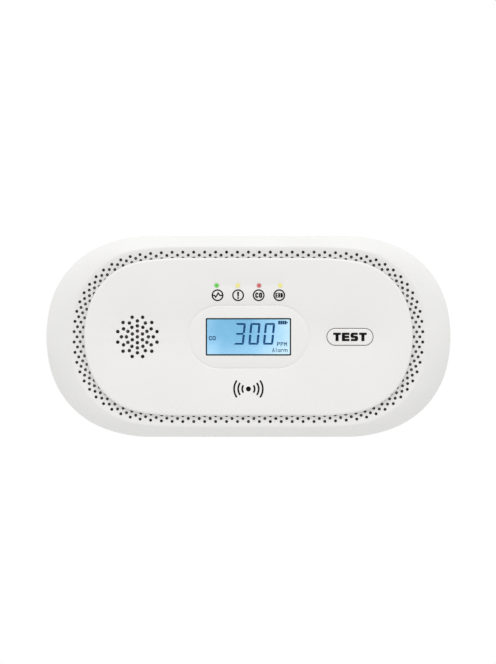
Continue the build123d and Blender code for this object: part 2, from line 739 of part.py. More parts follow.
def positive_contacts():
    """Flat plates with a raised dimple, one at each cell's positive end."""
    plates = []
    for index, y in enumerate(CELL_ROWS):
        side = facing(index)
        inner = side * (BAY_END - CONTACT_THICKNESS)
        dimple = along_x(DIMPLE_RADIUS, *sorted((inner, inner - side * DIMPLE)), y)
        plates.append(contact_plate(side, y) + dimple)
    return plates


def negative_contacts():
    """Flat plates behind the springs, one at each cell's negative end."""
    return [contact_plate(-facing(index), y) for index, y in enumerate(CELL_ROWS)]


def battery_springs():
    """The room that each compressed coil spring takes behind its cell."""
    outer, inner = 3.4, 2.6
    springs = []
    for index, y in enumerate(CELL_ROWS):
        side = -facing(index)
        root = side * (BAY_END - CONTACT_THICKNESS)
        ends = sorted((root, root - side * SPRING_LENGTH))
        springs.append(along_x(outer, *ends, y) - along_x(inner, *ends, y))
    return springs


def case_screw(place):
    """Cross-head screw from the rear cover through the board into the front shell."""
    x, y = place
    head_low = 1.0
    grip = 5.8
    tip = BOARD_FRONT + grip
    screw = rod(x, y, HEAD_RADIUS, head_low, COUNTERBORE_DEPTH)
    screw += rod(x, y, SHANK_RADIUS, COUNTERBORE_DEPTH, tip)
    recess = 1.1
    cross = (2.8, 0.6)
    for size in (cross, cross[::-1]):
        screw -= Pos(x, y, 0) * slab(Rectangle(*size), head_low, head_low + recess)
    return screw


# ---------------------------------------------------------------- write every node
os.makedirs("parts", exist_ok=True)
save("front_shell", front_shell())
save("front_panel", front_panel())
save("rear_cover", rear_cover())
save("battery_door", battery_door())
save("rating_label", rating_label())
save("insect_mesh", insect_mesh())
save("display_lens", display_lens())
save("display_gasket", display_gasket())
save("lcd_glass", lcd_glass())
save("lcd_backlight", lcd_backlight())
save("lcd_frame", lcd_frame())
save("lcd_strips", *lcd_strips())
for led_colour, led_place in zip(LED_COLOURS, LED_PLACES):
    save(f"led_{led_colour}", status_led(led_place))
save("light_pipe", light_pipe())
save("test_button", test_button())
save("switch_body", switch_body())
save("switch_plunger", switch_plunger())
save("sounder_chamber", sounder_chamber())
save("piezo_disc", piezo_disc())
save("piezo_ceramic", piezo_ceramic())
save("sounder_wires", *sounder_wires())
save("sensor_can", sensor_can())
save("sensor_cap", sensor_cap())
save("sensor_filter", sensor_filter())
save("sensor_pins", *sensor_pins())
save("circuit_board", circuit_board())
save("microcontroller", microcontroller())
save("capacitor", capacitor())
save("sounder_inductor", sounder_inductor())
save("chip_parts", *chip_parts())
for cell_index in range(len(CELL_ROWS)):
    save(f"aa_cell_{cell_index + 1}", aa_cell(cell_index))
save("positive_contacts", *positive_contacts())
save("negative_contacts", *negative_contacts())
save("battery_springs", *battery_springs())
save("case_screws", *[case_screw(screw_place) for screw_place in SCREW_PLACES])
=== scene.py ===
from math import atan2, cos, hypot, pi, radians, sin

import bmesh
import bpy
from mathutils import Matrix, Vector
from mathutils.geometry import delaunay_2d_cdt


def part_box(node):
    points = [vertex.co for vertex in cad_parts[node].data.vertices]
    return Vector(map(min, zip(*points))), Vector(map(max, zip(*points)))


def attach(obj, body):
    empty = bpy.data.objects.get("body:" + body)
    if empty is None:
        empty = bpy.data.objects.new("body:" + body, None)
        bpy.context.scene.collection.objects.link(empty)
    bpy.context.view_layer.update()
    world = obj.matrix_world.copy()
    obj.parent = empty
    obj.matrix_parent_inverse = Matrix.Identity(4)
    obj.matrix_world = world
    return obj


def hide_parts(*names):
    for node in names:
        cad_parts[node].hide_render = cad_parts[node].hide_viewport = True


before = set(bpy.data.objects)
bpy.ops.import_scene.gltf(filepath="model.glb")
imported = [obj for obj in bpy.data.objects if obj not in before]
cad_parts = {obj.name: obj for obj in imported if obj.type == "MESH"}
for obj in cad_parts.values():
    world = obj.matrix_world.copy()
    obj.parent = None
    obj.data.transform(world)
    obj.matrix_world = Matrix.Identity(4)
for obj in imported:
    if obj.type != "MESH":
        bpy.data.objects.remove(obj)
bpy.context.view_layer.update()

# Shapes are worked out in millimetres with x to the right, y up and z out of the wall.
# make_piece() turns them into the frame: x stays, up is +Z and the front faces -Y.
MM = 0.001


def reach(node):
    """A CAD node's box in working millimetres: lowest (x, y, z) and highest (x, y, z)."""
    low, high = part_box(node)
    return (low.x / MM, low.z / MM, -high.y / MM), (high.x / MM, high.z / MM, -low.y / MM)


def middle(node):
    """The centre of a CAD node's box in working millimetres."""
    low, high = reach(node)
    return tuple((a + b) / 2 for a, b in zip(low, high))


# -------- sizes in millimetres, from the frame where it has them
SHELL_HIGH = reach("front_shell")[1]
PANEL_HIGH = reach("front_panel")[1]
BUTTON_LOW, BUTTON_HIGH = reach("test_button")

# An oval is (half width, half height, two shoulder bends), a bend being (radius, angle it turns to).
CASE_OVAL = (SHELL_HIGH[0], SHELL_HIGH[1], ((40.9, radians(22.2)), (27.9, radians(74.9))))
VENT_OVAL = (56.0, 27.2, ((126.0, radians(6.1)), (24.25, radians(81.0))))
PANEL_OVAL = (PANEL_HIGH[0], PANEL_HIGH[1], ((81.0, radians(8.9)), (21.1, radians(70.7))))
STRAIGHT_STEPS = 10
ARC_STEPS = (10, 24, 8)

# Heights off the wall.
PARTING = 15.0
BORDER_START = 26.0
FLOOR_TOP = 32.0
CREST = SHELL_HIGH[2]
PANEL_FRONT = PANEL_HIGH[2]
# Thicknesses, and distances sideways or down from an edge.
FLOOR_THICKNESS = 1.3
WALL = 2.0
UPPER_WALL = 3.2
PANEL_LEDGE = 4.0
CREST_OFFSET = 1.8
CREST_ROUND = 0.08

VENT_ROWS = 4
VENTS_PER_ROW = 86
VENT_RADIUS = 0.5
VENT_ROW_PITCH = 0.96
VENT_GUIDE = 2.2

DISH_OUTER = (40.4, 20.8)
DISH_INNER = (36.9, 19.4)
DISH_BACK = reach("display_lens")[0][2] + 1.0
CHANNEL_DEPTH = 0.25
DISH_DEPTH = 0.04
WINDOW = (27.4, 12.05)
WINDOW_CORNER = 0.35

BUTTON = (14.66, 5.27)
BUTTON_GAP = 0.2
FILM = 0.03
BUTTON_X = middle("test_button")[0]
FLANGE = (BUTTON_HIGH[0] - BUTTON_LOW[0], BUTTON_HIGH[1] - BUTTON_LOW[1])

SOUNDER_X = middle("sounder_chamber")[0]
GRILLE_RADIUS = 0.585
GRILLE_RINGS = ((1.88, 6, 30.0), (3.52, 12, 0.0), (5.12, 12, 0.0), (6.52, 12, 15.0))

TIP_HOLE = 0.78


# -------- outlines
def quarter(oval):
    """The straight half length and the three tangent arcs (radius, from, to) of a quarter oval."""
    half_width, half_height, ((radius_1, turn_1), (radius_2, turn_2)) = oval
    drop = radius_1 * (1 - cos(turn_1)) + radius_2 * (cos(turn_1) - cos(turn_2))
    radius_3 = (half_height - drop) / cos(turn_2)
    run = radius_1 * sin(turn_1) + radius_2 * (sin(turn_2) - sin(turn_1)) + radius_3 * (1 - sin(turn_2))
    arcs = ((radius_1, 0.0, turn_1), (radius_2, turn_1, turn_2), (radius_3, turn_2, pi / 2))
    return half_width - run, arcs


def oval_loop(oval, inset, out):
    """Points round an oval moved inward by inset, at one height off the wall."""
    straight, arcs = quarter(oval)
    x, y = straight, oval[1] - inset
    points = [(straight * step / STRAIGHT_STEPS, y) for step in range(STRAIGHT_STEPS)]
    for (radius, start, end), steps in zip(arcs, ARC_STEPS):
        bend = radius - inset
        centre_x, centre_y = x - bend * sin(start), y - bend * cos(start)
        for step in range(steps):
            turn = start + (end - start) * step / steps
            points.append((centre_x + bend * sin(turn), centre_y + bend * cos(turn)))
        x, y = centre_x + bend * sin(end), centre_y + bend * cos(end)
    points.append((oval[0] - inset, 0.0))
    back = points[::-1]
    ring = points[:-1] + [(px, -py) for px, py in back[:-1]]
    ring += [(-px, -py) for px, py in points[:-1]] + [(-px, py) for px, py in back[:-1]]
    return [(px, py, out) for px, py in ring]


def blend_loops(first, second, share, out):
    """A loop part of the way from one loop to another, at one height off the wall."""
    pairs = zip(first, second)
    return [(a[0] + (b[0] - a[0]) * share, a[1] + (b[1] - a[1]) * share, out) for a, b in pairs]


def circle_loop(x, y, radius, out, steps=20):
    """Points round a circle, at one height off the wall."""
    turns = [2 * pi * step / steps for step in range(steps)]
    return [(x + radius * sin(turn), y + radius * cos(turn), out) for turn in turns]


def resized(size, extra):
    """A (width, height) with the same extra on both."""
    return [side + extra for side in size]


def rounded_loop(size, corner, out, x=0.0, steps=10):
    """A rectangle of this overall size with round corners, about (x, 0)."""
    half_x, half_y = size[0] / 2 - corner, size[1] / 2 - corner
    points = []
    for start, (side_x, side_y) in enumerate(((1, 1), (1, -1), (-1, -1), (-1, 1))):
        centre_x, centre_y = side_x * half_x, side_y * half_y
        for step in range(steps + 1):
            turn = (start + step / steps) * pi / 2
            points.append((x + centre_x + corner * sin(turn), centre_y + corner * cos(turn), out))
    return points


def pill_loop(size, out, x=0.0):
    """A stadium: its ends are all but half circles, with a sliver left so that no two points meet."""
    sliver = 1e-4
    return rounded_loop(size, size[1] / 2 - sliver, out, x, 14)


def quarter_turns(steps, first=0):
    """Angles in even steps up to a right angle, without those before the first."""
    return [pi / 2 * step / steps for step in range(first, steps + 1)]


def stations(oval, guide, count, shift):
    """Points on an oval with their outward normals, spaced evenly along a parallel guide oval."""
    straight, arcs = quarter(oval)
    length = straight + sum((radius + guide) * (end - start) for radius, start, end in arcs)
    found = []
    for index in range(count):
        side, along = divmod((index + shift) / count * 4 * length, length)
        if int(side) % 2:
            along = length - along
        x, y, turn = min(along, straight), oval[1], 0.0
        along -= straight
        for radius, start, end in arcs:
            if along <= 0:
                break
            turn = start + min(along / (radius + guide), end - start)
            x += radius * (sin(turn) - sin(start))
            y += radius * (cos(turn) - cos(start))
            along -= (radius + guide) * (end - start)
        sign_x = 1 if int(side) in (0, 1) else -1
        sign_y = 1 if int(side) in (0, 3) else -1
        found.append((sign_x * x, sign_y * y, sign_x * sin(turn), sign_y * cos(turn)))
    return found


def contains(polygon, point):
    """Whether a flat polygon holds a point."""
    inside = False
    for (x1, y1), (x2, y2) in zip(polygon, polygon[1:] + polygon[:1]):
        if (y1 > point[1]) != (y2 > point[1]):
            if point[0] < x1 + (point[1] - y1) / (y2 - y1) * (x2 - x1):
                inside = not inside
    return inside


# -------- mesh building
class Skin:
    """A mesh under construction, made of loops of points that are bridged or filled."""

    def __init__(self):
        self.points = []
        self.faces = []
        self.level_faces = set()

    def loop(self, points):
        """Adds points and gives back their indices."""
        start = len(self.points)
        self.points += points
        return list(range(start, start + len(points)))

    def bridge(self, first, second):
        """Quads between two closed loops with as many points each."""
        for index, start in enumerate(first):
            follow = (index + 1) % len(first)
            self.faces.append((start, first[follow], second[follow], second[index]))

    def stack(self, rings):
        """Bridges each ring to the next and gives back the last one's indices."""
        loops = [ring if isinstance(ring[0], int) else self.loop(ring) for ring in rings]
        for first, second in zip(loops, loops[1:]):
            self.bridge(first, second)
        return loops[-1]

    def fill(self, outer, holes=(), level=True):
        """Triangles that cover an outer loop apart from the holes in it; level ones shade flat."""
        loops = [outer, *holes]
        members = [(index, number) for number, loop in enumerate(loops) for index in loop]
        edges = []
        start = 0
        for loop in loops:
            edges += [(start + step, start + (step + 1) % len(loop)) for step in range(len(loop))]
            start += len(loop)
        outlines = [[self.points[index][:2] for index in loop] for loop in loops]
        flat = [Vector(point) for outline in outlines for point in outline]
        _, _, triangles, origins, _, _ = delaunay_2d_cdt(flat, edges, [], 0, 1e-5)
        for triangle in triangles:
            corners = [members[origins[corner][0]] for corner in triangle]
            numbers = {number for _, number in corners}
            indices = [index for index, _ in corners]
            if len(numbers) == 1:
                number = numbers.pop()
                centre = [sum(self.points[index][axis] for index in indices) / 3 for axis in (0, 1)]
                if contains(outlines[number], centre) != (number == 0):
                    continue
            if level:
                self.level_faces.add(len(self.faces))
            self.faces.append(tuple(indices))


def new_object(name, data):
    """An object in the scene."""
    made = bpy.data.objects.new(name, data)
    bpy.context.scene.collection.objects.link(made)
    return made


def make_piece(name, skin, body, material, sharp_angle=30.0):
    """A piece from a finished skin, turned into the frame and riding on its body."""
    mesh = bpy.data.meshes.new(name)
    mesh.from_pydata([(x * MM, -z * MM, y * MM) for x, y, z in skin.points], [], skin.faces)
    mesh.shade_smooth()
    for index in skin.level_faces:
        mesh.polygons[index].use_smooth = False
    work = bmesh.new()
    work.from_mesh(mesh)
    loose = [vert for vert in work.verts if not vert.link_faces]
    bmesh.ops.delete(work, geom=loose, context="VERTS")
    bmesh.ops.recalc_face_normals(work, faces=work.faces)
    work.to_mesh(mesh)
    work.free()
    mesh.set_sharp_from_angle(angle=radians(sharp_angle))
    mesh.materials.append(material)
    piece = new_object(name, mesh)
    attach(piece, body)
    return piece


# -------- materials
def set_values(node, values):
    """Sets constants on a node's input sockets."""
    for socket, value in values.items():
        node.inputs[socket].default_value = value


class Shader:
    """A node material round one Principled surface."""

    def __init__(self, name, roughness=0.4, metallic=0.0, specular=0.5):
        self.material = bpy.data.materials.new(name)
        self.material.use_nodes = True
        self.tree = self.material.node_tree
        self.surface = self.tree.nodes["Principled BSDF"]
        levels = {"Roughness": roughness, "Metallic": metallic, "Specular IOR Level": specular}
        set_values(self.surface, levels)
        self.place = self.node("ShaderNodeTexCoord").outputs["Object"]

    def node(self, kind, values=None, **settings):
        """A new node with these settings, and these constants on its input sockets."""
        made = self.tree.nodes.new(kind)
        for key, value in settings.items():
            setattr(made, key, value)
        set_values(made, values or {})
        return made

    def link(self, source, target):
        """Joins an output to an input."""
        self.tree.links.new(source, target)

    def axes(self):
        """The place's X, Y and Z, each on its own."""
        split = self.node("ShaderNodeSeparateXYZ")
        self.link(self.place, split.inputs["Vector"])
        return split.outputs

    def math(self, operation, *sources):
        """A sum, maximum or absolute value of these sources."""
        made = self.node("ShaderNodeMath", operation=operation)
        for socket, source in zip(made.inputs, sources):
            self.link(source, socket)
        return made.outputs[0]

    def noise(self, size, detail=3.0, stretch=(1, 1, 1)):
        """Noise with features of about this size in metres."""
        scaling = self.node("ShaderNodeMapping", {"Scale": stretch})
        self.link(self.place, scaling.inputs["Vector"])
        noise = self.node("ShaderNodeTexNoise", {"Scale": 1.0 / size, "Detail": detail})
        self.link(scaling.outputs["Vector"], noise.inputs["Vector"])
        return noise.outputs["Fac"]

    def ramp(self, source, stops):
        """Colours along a 0 to 1 value, from (position, colour) stops."""
        ramp = self.node("ShaderNodeValToRGB")
        elements = ramp.color_ramp.elements
        while len(elements) < len(stops):
            elements.new(0.5)
        for element, (position, colour) in zip(elements, stops):
            element.position = position
            element.color = (*colour[:3], 1.0)
        self.link(source, ramp.inputs["Fac"])
        return ramp.outputs["Color"]

    def spread(self, source, low, high, start=0.3, end=0.7):
        """A value mapped from start..end to low..high."""
        limits = {"From Min": start, "From Max": end, "To Min": low, "To Max": high}
        spread = self.node("ShaderNodeMapRange", limits)
        self.link(source, spread.inputs["Value"])
        return spread.outputs["Result"]

    def bump(self, height, depth, strength=1.0):
        """Bump of this depth in metres, on top of any bump that is there."""
        bump = self.node("ShaderNodeBump", {"Strength": strength, "Distance": depth})
        self.link(height, bump.inputs["Height"])
        normal = self.surface.inputs["Normal"]
        if normal.is_linked:
            self.link(normal.links[0].from_socket, bump.inputs["Normal"])
        self.link(bump.outputs["Normal"], normal)

    def colour(self, source):
        """The surface's colour."""
        self.link(source, self.surface.inputs["Base Color"])

    def rough(self, source, low, high, start=0.3, end=0.7):
        """The surface's roughness, from low to high as a value goes from start to end."""
        self.link(self.spread(source, low, high, start, end), self.surface.inputs["Roughness"])

    def emit(self, source, strength):
        """Light of this colour that the surface gives off."""
        self.link(source, self.surface.inputs["Emission Color"])
        set_values(self.surface, {"Emission Strength": strength})


def tinted(colour, share):
    """A colour made darker or lighter."""
    return tuple(channel * share for channel in colour)


def moulded(name, colour, roughness, grain=0.00025, contrast=0.03):
    """Moulded plastic: spark-eroded grain, soft patches of tone and uneven gloss."""
    shader = Shader(name)
    tone = shader.noise(0.018, 2.0)
    shader.colour(shader.ramp(tone, ((0.3, tinted(colour, 1 - contrast)), (0.7, colour))))
    patches = shader.noise(0.004, 4.0)
    shader.rough(patches, roughness - 0.06, roughness + 0.06)
    shader.bump(shader.noise(grain, 4.0), 0.000006)
    shader.bump(shader.noise(0.03, 1.0), 0.00004, 0.5)
    return shader.material


def metal(name, colour, roughness, brush=(1, 1, 1)):
    """Plated or rolled metal with fine scratches along one direction."""
    shader = Shader(name, metallic=1.0)
    streaks = shader.noise(0.0006, 5.0, brush)
    shader.colour(shader.ramp(streaks, ((0.3, tinted(colour, 0.82)), (0.7, colour))))
    shader.rough(streaks, roughness - 0.08, roughness + 0.12)
    shader.bump(streaks, 0.00001)
    return shader.material


WHITE = (0.815, 0.81, 0.797)
PANEL_WHITE = (0.835, 0.827, 0.811)
INK = (0.005, 0.005, 0.0055)
DISPLAY_BLUE = (0.20, 0.49, 0.735)
DISPLAY_MID = (0.37, 0.68, 0.93)
DISPLAY_PALE = (0.66, 0.90, 1.0)
SEGMENT_BLUE = (0.004, 0.06, 0.175)
JACKET_DARK = (0.045, 0.10, 0.16)
JACKET_PALE = (0.55, 0.57, 0.58)
JACKET_END = (0.50, 0.50, 0.50)
AMBER = (0.88, 0.80, 0.24)
LAMPS = {
    "led_green": (0.08, 0.60, 0.03),
    "led_amber_left": AMBER,
    "led_red": (0.62, 0.09, 0.09),
    "led_amber_right": AMBER,
}


def ink_material():
    """Pad-printed ink with a slightly broken surface."""
    shader = Shader("ink", specular=0.04)
    film = shader.noise(0.0004, 4.0)
    shader.colour(shader.ramp(film, ((0.25, tinted(INK, 2.0)), (0.6, INK))))
    shader.rough(film, 0.38, 0.55)
    shader.bump(film, 0.000004)
    return shader.material


def display_material():
    """Backlit glass, palest towards its lower right corner."""
    shader = Shader("display_backlit", roughness=0.25, specular=0.1)
    low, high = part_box("lcd_glass")
    axes = shader.axes()
    total = shader.spread(axes["X"], 0.0, 0.85, 0.0, high.x * 0.85)
    for part in (
        shader.spread(axes["X"], 0.0, 0.3, low.x * 0.5, low.x * 0.85),
        shader.spread(axes["Z"], 0.0, 0.42, 0.0, low.z * 0.7),
        shader.spread(shader.noise(0.006, 2.0), -0.07, 0.07),
    ):
        total = shader.math("ADD", total, part)
    glow = shader.ramp(total, ((0.0, DISPLAY_BLUE), (0.5, DISPLAY_MID), (1.0, DISPLAY_PALE)))
    shader.emit(glow, 0.98)
    grain = shader.noise(0.0003)
    shader.colour(shader.ramp(grain, ((0.3, (0.03, 0.06, 0.09)), (0.7, (0.04, 0.08, 0.12)))))
    shader.bump(shader.noise(0.0005), 0.000001)
    return shader.material


def segment_material():
    """Dark liquid crystal segments with the backlight just showing through."""
    shader = Shader("segments", roughness=0.5, specular=0.0)
    cloud = shader.noise(0.0012, 2.0)
    tone = shader.ramp(cloud, ((0.3, SEGMENT_BLUE), (0.8, tinted(SEGMENT_BLUE, 1.35))))
    shader.colour(tone)
    shader.emit(tone, 0.35)
    shader.bump(cloud, 0.000001)
    return shader.material


def clear_material(name, tint, roughness, ior):
    """Clear moulding with faint flow marks."""
    shader = Shader(name)
    flow = shader.noise(0.006, 2.0)
    shader.colour(shader.ramp(flow, ((0.3, tinted(tint, 0.97)), (0.7, tint))))
    shader.rough(flow, roughness, roughness + 0.03)
    shader.bump(flow, 0.000004, 0.3)
    set_values(shader.surface, {"Transmission Weight": 1.0, "IOR": ior})
    return shader.material


def lamp_material(name, colour, strength):
    """Lit and slightly cloudy plastic, for an LED or the backlight."""
    shader = Shader(name, roughness=0.3)
    cloud = shader.noise(0.0007, 2.0)
    glow = shader.ramp(cloud, ((0.25, tinted(colour, 0.85)), (0.75, colour)))
    shader.colour(glow)
    shader.emit(glow, strength)
    shader.bump(cloud, 0.000005)
    return shader.material


def weave_material():
    """Fine woven insect mesh."""
    shader = Shader("insect_mesh", roughness=0.8)
    waves = []
    for direction in ("X", "Z"):
        ripple = {"Scale": 900.0, "Distortion": 0.4}
        wave = shader.node("ShaderNodeTexWave", ripple, bands_direction=direction)
        shader.link(shader.place, wave.inputs["Vector"])
        waves.append(wave.outputs["Fac"])
    threads = shader.math("MAXIMUM", *waves)
    shader.colour(shader.ramp(threads, ((0.3, (0.22, 0.19, 0.175)), (0.9, (0.52, 0.46, 0.43)))))
    shader.bump(threads, 0.00008)
    return shader.material


def board_material():
    """Green solder mask over copper tracks."""
    shader = Shader("board")
    settings = {"feature": "DISTANCE_TO_EDGE", "distance": "CHEBYCHEV"}
    cells = shader.node("ShaderNodeTexVoronoi", {"Scale": 260.0}, **settings)
    shader.link(shader.place, cells.inputs["Vector"])
    tracks = cells.outputs["Distance"]
    shader.colour(shader.ramp(tracks, ((0.06, (0.03, 0.20, 0.07)), (0.12, (0.012, 0.10, 0.035)))))
    shader.rough(tracks, 0.25, 0.4, 0.0, 0.3)
    shader.bump(tracks, 0.00003)
    return shader.material


def jacket_material():
    """Printed film round a cell: dark, with a pale band and a grey end each way."""
    shader = Shader("cell_jacket", roughness=0.3)
    across = shader.spread(shader.math("ABSOLUTE", shader.axes()["X"]), 0.0, 1.0, 0.0, 0.026)
    shader.colour(shader.ramp(across, (
        (0.60, JACKET_DARK), (0.62, JACKET_PALE), (0.68, JACKET_PALE),
        (0.70, JACKET_DARK), (0.90, JACKET_DARK), (0.92, JACKET_END),
    )))
    scuffs = shader.noise(0.004, 3.0)
    shader.rough(scuffs, 0.24, 0.36)
    shader.bump(scuffs, 0.000004, 0.4)
    return shader.material


def label_material():
    """Blank label: pale film with printed rules and no lettering."""
    shader = Shader("label")
    low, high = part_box("rating_label")
    columns, rows = 2, 5
    rules = shader.node("ShaderNodeTexBrick", {
        "Color1": (0.80, 0.81, 0.82, 1), "Color2": (0.82, 0.83, 0.84, 1), "Mortar": (0.30, 0.31, 0.32, 1),
        "Scale": 1.0, "Mortar Size": 0.00012,
        "Brick Width": (high.x - low.x) / columns, "Row Height": (high.z - low.z) / rows,
    }, offset=0.0)
    turned = shader.node("ShaderNodeMapping", {"Location": (-low.x, -low.z, 0)})
    swap = shader.node("ShaderNodeCombineXYZ")
    axes = shader.axes()
    shader.link(axes["X"], swap.inputs["X"])
    shader.link(axes["Z"], swap.inputs["Y"])
    shader.link(swap.outputs["Vector"], turned.inputs["Vector"])
    shader.link(turned.outputs["Vector"], rules.inputs["Vector"])
    shader.colour(rules.outputs["Color"])
    film = shader.noise(0.0008, 3.0)
    shader.rough(film, 0.35, 0.5)
    shader.bump(film, 0.000004)
    return shader.material


SHELL_WHITE = moulded("shell_white", WHITE, 0.42)
FASCIA_WHITE = moulded("fascia_white", PANEL_WHITE, 0.38, grain=0.0002, contrast=0.012)
BLACK = moulded("black_plastic", (0.03, 0.03, 0.032), 0.5, contrast=0.3)
INK_FILM = ink_material()
SEGMENTS = segment_material()
STEEL = metal("plated_steel", (0.72, 0.71, 0.69), 0.3, (1, 6, 6))
SCREW_STEEL = metal("screw_steel", (0.60, 0.60, 0.61), 0.32)
BRASS = metal("brass", (0.80, 0.60, 0.28), 0.28, (1, 5, 1))

NODE_MATERIALS = {
    "rear_cover": SHELL_WHITE,
    "battery_door": moulded("door_white", WHITE, 0.44),
    "rating_label": label_material(),
    "insect_mesh": weave_material(),
    "display_lens": clear_material("lens", (0.96, 0.985, 1.0), 0.02, 1.16),
    "display_gasket": BLACK,
    "lcd_glass": display_material(),
    "lcd_backlight": lamp_material("backlight", (0.6, 0.8, 0.95), 0.4),
    "lcd_frame": BLACK,
    "lcd_strips": moulded("strip_rubber", (0.55, 0.22, 0.30), 0.6, contrast=0.2),
    "light_pipe": clear_material("light_guide", (0.95, 0.97, 0.96), 0.08, 1.46),
    "switch_body": BLACK,
    "switch_plunger": moulded("plunger_plastic", (0.35, 0.03, 0.02), 0.4, contrast=0.1),
    "sounder_chamber": moulded("sounder_plastic", (0.42, 0.39, 0.37), 0.6, contrast=0.2),
    "piezo_disc": moulded("lacquered_brass", (0.80, 0.71, 0.60), 0.7, contrast=0.2),
    "piezo_ceramic": moulded("fired_silver", (0.72, 0.71, 0.66), 0.5, contrast=0.15),
    "sounder_wires": moulded("wire_sleeve", (0.45, 0.02, 0.015), 0.4, contrast=0.1),
    "sensor_can": STEEL,
    "sensor_cap": BLACK,
    "sensor_filter": moulded("filter_film", (0.8, 0.8, 0.78), 0.8, grain=0.0001, contrast=0.1),
    "sensor_pins": BRASS,
    "circuit_board": board_material(),
    "microcontroller": BLACK,
    "capacitor": moulded("capacitor_sleeve", (0.02, 0.03, 0.06), 0.3, contrast=0.2),
    "sounder_inductor": moulded("ferrite", (0.05, 0.045, 0.045), 0.6, contrast=0.3),
    "chip_parts": moulded("chips", (0.12, 0.08, 0.05), 0.5, contrast=0.3),
    "positive_contacts": STEEL,
    "negative_contacts": STEEL,
    "case_screws": SCREW_STEEL,
}
NODE_MATERIALS.update(dict.fromkeys(("aa_cell_1", "aa_cell_2", "aa_cell_3"), jacket_material()))
for led_name, led_colour in LAMPS.items():
    NODE_MATERIALS[led_name] = lamp_material(led_name + "_epoxy", led_colour, 0.6)

for node_name, node_material in NODE_MATERIALS.items():
    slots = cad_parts[node_name].data.materials
    slots.clear()
    slots.append(node_material)


# -------- front shell
def groove_height(offset):
    """Height of the groove floor at a distance outside the first row of vents."""
    crest, bend_width, slope = 1.5, 1.1, 0.34
    along = crest - offset
    if along < bend_width:
        return CREST - slope * along * along / (2 * bend_width)
    return max(CREST - slope * (along - bend_width / 2), FLOOR_TOP)


def vent_loops(skin, sink):
    """The vents' edge loops on the groove floor, lowered by sink."""
    steps = 16
    loops = []
    for row in range(VENT_ROWS):
        offset = -row * VENT_ROW_PITCH
        for x, y, normal_x, normal_y in stations(VENT_OVAL, VENT_GUIDE, VENTS_PER_ROW, 0.5 * (row % 2)):
            points = []
            for step in range(steps):
                turn = 2 * pi * step / steps
                outward, along = offset + VENT_RADIUS * sin(turn), VENT_RADIUS * cos(turn)
                px = x + outward * normal_x + along * normal_y
                py = y + outward * normal_y - along * normal_x
                points.append((px, py, groove_height(outward) - sink))
            loops.append(skin.loop(points))
    return loops


def front_shell():
    """Side wall, rounded border, crest and the sloped groove floor with its vents, as one closed skin."""
    skin = Skin()
    case_outline = oval_loop(CASE_OVAL, 0.0, 0.0)
    crest_outline = oval_loop(VENT_OVAL, -CREST_OFFSET, 0.0)
    rings = [oval_loop(CASE_OVAL, WALL, PARTING)]
    seam = 0.35
    for turn in quarter_turns(4):
        rings.append(oval_loop(CASE_OVAL, seam * (1 - sin(turn)), PARTING + seam * (1 - cos(turn))))
    rings.append(oval_loop(CASE_OVAL, 0.0, (PARTING + BORDER_START) / 2))
    border_steps = 16
    border_turn = radians(69)
    for step in range(border_steps + 1):
        turn = border_turn * step / border_steps
        height = BORDER_START + (CREST - CREST_ROUND - BORDER_START) * sin(turn) / sin(border_turn)
        share = (1 - cos(turn)) / (1 - cos(border_turn))
        rings.append(blend_loops(case_outline, crest_outline, share, height))
    crest_inside = 1.65
    rings.append(oval_loop(VENT_OVAL, -crest_inside, CREST - CREST_ROUND / 4))
    floor_edge = 0.7
    for offset in (1.5, 1.35, 1.2, 1.05, 0.9, floor_edge):
        rings.append(oval_loop(VENT_OVAL, -offset, groove_height(offset)))
    inner_start = skin.loop(rings[0])
    top_edge = skin.stack([inner_start, *rings[1:]])
    ledge_top = skin.loop(oval_loop(PANEL_OVAL, PANEL_LEDGE, FLOOR_TOP))
    vents_top = vent_loops(skin, 0.0)
    skin.fill(top_edge, [ledge_top, *vents_top], level=False)
    vents_low = vent_loops(skin, FLOOR_THICKNESS)
    for upper, lower in zip(vents_top, vents_low):
        skin.bridge(upper, lower)
    ledge_low = skin.loop(oval_loop(PANEL_OVAL, PANEL_LEDGE, FLOOR_TOP - FLOOR_THICKNESS))
    skin.bridge(ledge_top, ledge_low)
    low_edge = skin.loop(oval_loop(VENT_OVAL, -floor_edge, groove_height(floor_edge) - FLOOR_THICKNESS))
    skin.fill(low_edge, [ledge_low, *vents_low], level=False)
    under_floor = FLOOR_TOP - FLOOR_THICKNESS - 0.6
    skin.stack([
        low_edge,
        oval_loop(CASE_OVAL, UPPER_WALL, under_floor),
        oval_loop(CASE_OVAL, UPPER_WALL, BORDER_START),
        oval_loop(CASE_OVAL, WALL, BORDER_START - 1.0),
        inner_start,
    ])
    piece = make_piece("shell_front", skin, "case", SHELL_WHITE, 35.0)
    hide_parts("front_shell")


# -------- front panel
def hole(skin, edge, outline):
    """A hole through the panel, its mouth rounded by edge, as its top loop and its bottom loop.

    outline(extra, out) gives the hole's loop, wider all round by extra, at one height off the wall.
    """
    mouth = skin.loop(outline(edge, PANEL_FRONT))
    rings = [mouth]
    for turn in quarter_turns(3, 1):
        rings.append(outline(edge * (1 - sin(turn)), PANEL_FRONT - edge * (1 - cos(turn))))
    low = skin.loop(outline(0.0, FLOOR_TOP))
    skin.stack([*rings, low])
    return mouth, low


def round_hole(skin, x, y, radius):
    """A round hole for a light or for sound."""
    return hole(skin, 0.08, lambda extra, out: circle_loop(x, y, radius + extra, out))


def button_hole(skin):
    """The stadium that the test button stands in."""
    opening = resized(BUTTON, 2 * BUTTON_GAP)
    return hole(skin, 0.15, lambda extra, out: pill_loop(resized(opening, 2 * extra), out, BUTTON_X))


